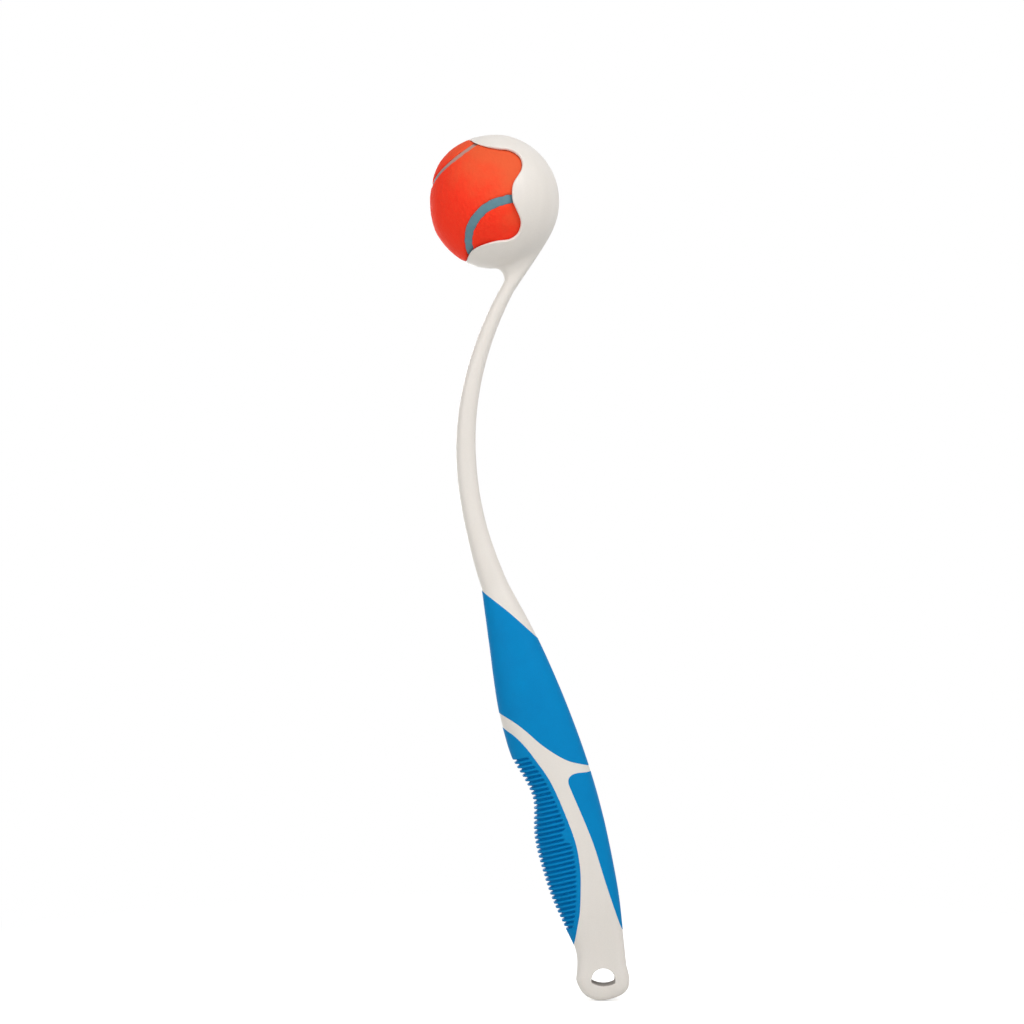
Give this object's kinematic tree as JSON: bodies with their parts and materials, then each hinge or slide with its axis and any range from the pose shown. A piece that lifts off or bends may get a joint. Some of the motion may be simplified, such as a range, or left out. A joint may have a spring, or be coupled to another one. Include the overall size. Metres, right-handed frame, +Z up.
{
  "type": "dog ball launcher stick",
  "caption": "Bowed plastic stick with a springy cup that holds a felt ball, a leaning handle with soft rubber grips and a hanging hole in its end",
  "frame": {"origin": "middle of the hand grip, in the launcher's plane of symmetry", "axes": "+Z up towards the cup with the stick held as in the picture, +X towards the back of the cup (the mouth opens towards -X), +Y away from the picture's camera"},
  "size_m": [0.105, 0.0668, 0.4538],
  "materials": {
    "off_white_plastic": "satin moulded polypropylene",
    "blue_soft_rubber": "matt overmoulded soft rubber",
    "core_rubber": "moulded rubber",
    "orange_felt": "napped felt",
    "seam_rubber": "vulcanised seam, matt"
  },
  "bodies": {
    "launcher": {"throwing_cup": "off_white_plastic", "shaft": "off_white_plastic", "handle_core": "off_white_plastic", "grip_sleeve": "blue_soft_rubber", "finger_grip": "blue_soft_rubber", "palm_grip": "blue_soft_rubber"},
    "upper_lip": {"cup_upper_lip": "off_white_plastic"},
    "ball": {"ball_core_front": "core_rubber", "ball_core_rear": "core_rubber", "ball_felt_upper": "orange_felt", "ball_felt_lower": "orange_felt", "ball_seam": "seam_rubber"}
  },
  "joints": [
    {"name": "ball_release", "type": "hinge", "parent": "launcher", "child": "ball", "pos_m": [-0.05375, 0, 0.3], "axis": [0, -1, 0], "range_deg": [0, 85], "deforming": ["cup_upper_lip"]},
    {"name": "upper_lip_flex", "type": "hinge", "parent": "launcher", "child": "upper_lip", "pos_m": [-0.01821, 0, 0.35756], "axis": [0, 1, 0], "range_deg": [0, 9], "stiffness_Nm_per_rad": 0.3}
  ]
}
